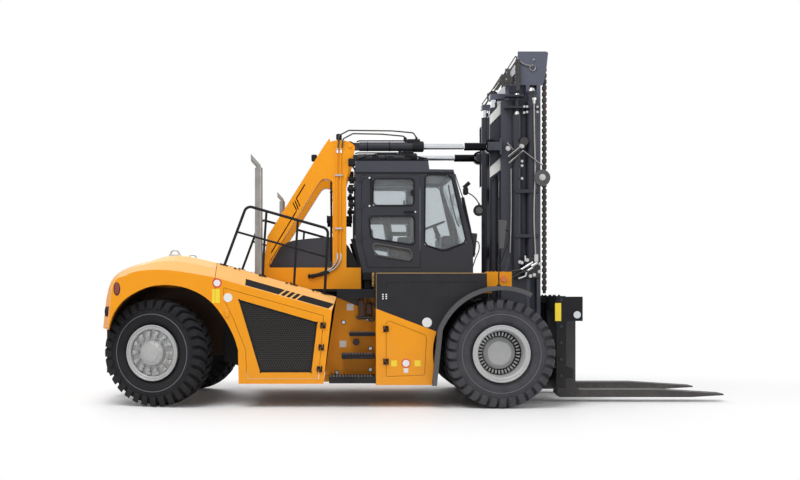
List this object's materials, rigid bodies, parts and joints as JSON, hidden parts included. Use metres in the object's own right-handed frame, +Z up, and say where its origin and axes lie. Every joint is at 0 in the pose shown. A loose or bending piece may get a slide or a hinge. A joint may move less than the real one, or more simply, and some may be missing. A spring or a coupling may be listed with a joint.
{
  "type": "heavy forklift truck",
  "caption": "Heavy forklift truck with overhead tilt cylinders, telescoping mast, sliding forks, enclosed cab, twin drive tyres, steered rear wheels and a swept counterweight",
  "frame": {"origin": "on the ground at the middle of the truck's length and width", "axes": "+X towards the fork tips, +Y to the truck's left, +Z up"},
  "size_m": [9.77, 3.46, 5.5399],
  "materials": {
    "orange_paint": "gloss orange-yellow paint, lightly weathered",
    "charcoal_paint": "satin charcoal paint",
    "black_paint": "satin black paint",
    "tyre_rubber": "worn dark rubber",
    "rim_grey": "silver-grey wheel paint",
    "rod_chrome": "polished rod",
    "stack_steel": "weathered exhaust steel",
    "cab_glass": "tinted safety glass",
    "engine_iron": "dark cast iron",
    "seat_cloth": "dark seat cloth",
    "hose_rubber": "black hydraulic hose",
    "bare_steel": "bare steel, dulled",
    "chain_steel": "oiled leaf chain"
  },
  "bodies": {
    "chassis": {"chassis_frame": "black_paint", "counterweight": "orange_paint", "tow_pin": "rod_chrome", "lifting_eyes": "bare_steel", "side_panels": "orange_paint", "step_bays": "orange_paint", "deck": "black_paint", "front_side_boxes": "orange_paint", "front_fenders": "black_paint", "fender_lamp_boxes": "orange_paint", "tilt_gantry": "orange_paint", "handrails": "black_paint", "exhaust_stacks": "stack_steel", "engine_bay_walls": "black_paint", "engine_block": "engine_iron", "cab_frame": "charcoal_paint", "cab_floor": "charcoal_paint", "cab_roof": "charcoal_paint", "cab_glass": "cab_glass", "seat_pedestal": "black_paint", "driver_seat": "seat_cloth", "steering_column": "black_paint", "drive_axle": "black_paint", "steer_axle": "black_paint", "steering_cylinder": "black_paint"},
    "hood": {"engine_hood": "charcoal_paint"},
    "service_door_right": {"service_door_right": "orange_paint"},
    "service_door_left": {"service_door_left": "orange_paint"},
    "box_door_right": {"box_door_right": "orange_paint"},
    "box_door_left": {"box_door_left": "orange_paint"},
    "cab_door_right": {"cab_door_right": "charcoal_paint", "door_glass_right": "cab_glass"},
    "cab_door_left": {"cab_door_left": "charcoal_paint", "door_glass_left": "cab_glass"},
    "front_wheel_right": {"front_tyres_right": "tyre_rubber", "front_rims_right": "rim_grey"},
    "front_wheel_left": {"front_tyres_left": "tyre_rubber", "front_rims_left": "rim_grey"},
    "knuckle_right": {"steering_knuckle_right": "black_paint"},
    "knuckle_left": {"steering_knuckle_left": "black_paint"},
    "rear_wheel_right": {"rear_tyre_right": "tyre_rubber", "rear_rim_right": "rim_grey"},
    "rear_wheel_left": {"rear_tyre_left": "tyre_rubber", "rear_rim_left": "rim_grey"},
    "steering_rod": {"steering_rod": "rod_chrome"},
    "mast_outer": {"outer_mast": "charcoal_paint", "lift_cylinders": "charcoal_paint", "rear_chains": "chain_steel"},
    "mast_inner": {"inner_mast": "charcoal_paint", "lift_rods": "rod_chrome", "chain_sheaves": "black_paint", "front_chains": "chain_steel"},
    "carriage": {"fork_carriage": "black_paint", "fork_shaft": "rod_chrome"},
    "fork_right": {"fork_right": "black_paint"},
    "fork_left": {"fork_left": "black_paint"},
    "tilt_barrels": {"tilt_barrels": "charcoal_paint", "tilt_hoses": "hose_rubber"},
    "tilt_rods": {"tilt_rods": "rod_chrome"}
  },
  "joints": [
    {"name": "mast_tilt", "type": "hinge", "parent": "chassis", "child": "mast_outer", "pos_m": [1.25, 0, 0.81], "axis": [0, 1, 0], "range_deg": [-10, 5]},
    {"name": "tilt_barrel_swing", "type": "hinge", "parent": "chassis", "child": "tilt_barrels", "pos_m": [-0.969, 0, 4.02], "axis": [0, 1, 0], "range_deg": [-0.4, 0.75]},
    {"name": "tilt_rod_stroke", "type": "slide", "parent": "tilt_barrels", "child": "tilt_rods", "axis": [1, 0, 0], "range_m": [-0.565, 0.285]},
    {"name": "mast_lift", "type": "slide", "parent": "mast_outer", "child": "mast_inner", "axis": [0, 0, 1], "range_m": [0, 2.25], "deforming": ["rear_chains"]},
    {"name": "carriage_lift", "type": "slide", "parent": "mast_inner", "child": "carriage", "axis": [0, 0, 1], "range_m": [0, 2.25], "deforming": ["front_chains"]},
    {"name": "fork_shift_right", "type": "slide", "parent": "carriage", "child": "fork_right", "axis": [0, 1, 0], "range_m": [-0.39, 0.35]},
    {"name": "fork_shift_left", "type": "slide", "parent": "carriage", "child": "fork_left", "axis": [0, 1, 0], "range_m": [-0.35, 0.39]},
    {"name": "front_wheel_right_spin", "type": "hinge", "parent": "chassis", "child": "front_wheel_right", "pos_m": [1.25, -1.19, 0.81], "axis": [0, 1, 0], "continuous": true},
    {"name": "front_wheel_left_spin", "type": "hinge", "parent": "chassis", "child": "front_wheel_left", "pos_m": [1.25, 1.19, 0.81], "axis": [0, 1, 0], "continuous": true},
    {"name": "steer_right", "type": "hinge", "parent": "chassis", "child": "knuckle_right", "pos_m": [-3.79, -1, 0.81], "axis": [0, 0, 1], "range_deg": [-38.5, 71.5]},
    {"name": "steer_left", "type": "hinge", "parent": "chassis", "child": "knuckle_left", "pos_m": [-3.79, 1, 0.81], "axis": [0, 0, 1], "range_deg": [-38.5, 71.5]},
    {"name": "steering_rod_stroke", "type": "slide", "parent": "chassis", "child": "steering_rod", "axis": [0, 1, 0], "range_m": [-0.216, 0.117]},
    {"name": "rear_wheel_right_spin", "type": "hinge", "parent": "knuckle_right", "child": "rear_wheel_right", "pos_m": [-3.79, -1, 0.81], "axis": [0.284, 0.9588, 0], "continuous": true},
    {"name": "rear_wheel_left_spin", "type": "hinge", "parent": "knuckle_left", "child": "rear_wheel_left", "pos_m": [-3.79, 1, 0.81], "axis": [0.284, 0.9588, 0], "continuous": true},
    {"name": "hood_hinge", "type": "hinge", "parent": "chassis", "child": "hood", "pos_m": [-2.267, 0, 2.105], "axis": [0, 1, 0], "range_deg": [-55, 0]},
    {"name": "service_door_right_hinge", "type": "hinge", "parent": "chassis", "child": "service_door_right", "pos_m": [-1.44, -1.614, 0.43], "axis": [0.0794, 0, 0.9968], "range_deg": [0, 85]},
    {"name": "service_door_left_hinge", "type": "hinge", "parent": "chassis", "child": "service_door_left", "pos_m": [-1.44, 1.614, 0.43], "axis": [0.0794, 0, 0.9968], "range_deg": [-85, 0]},
    {"name": "box_door_right_hinge", "type": "hinge", "parent": "chassis", "child": "box_door_right", "pos_m": [-0.445, -1.614, 0.77], "axis": [0, 0, 1], "range_deg": [-100, 0]},
    {"name": "box_door_left_hinge", "type": "hinge", "parent": "chassis", "child": "box_door_left", "pos_m": [-0.445, 1.614, 0.77], "axis": [0, 0, 1], "range_deg": [0, 100]},
    {"name": "cab_door_right_hinge", "type": "hinge", "parent": "chassis", "child": "cab_door_right", "pos_m": [-0.79, -0.864, 2.8], "axis": [0, 0, 1], "range_deg": [-85, 0]},
    {"name": "cab_door_left_hinge", "type": "hinge", "parent": "chassis", "child": "cab_door_left", "pos_m": [-0.79, 0.864, 2.8], "axis": [0, 0, 1], "range_deg": [0, 85]}
  ],
  "couplings": [
    {"joint": "tilt_barrel_swing", "follows": "mast_tilt", "ratio": -0.07},
    {"joint": "tilt_rod_stroke", "follows": "mast_tilt", "m_per_rad": 3.2},
    {"joint": "carriage_lift", "follows": "mast_lift", "ratio": 1},
    {"joint": "steer_left", "follows": "steer_right", "ratio": 1},
    {"joint": "steering_rod_stroke", "follows": "steer_right", "m_per_rad": -0.172}
  ]
}
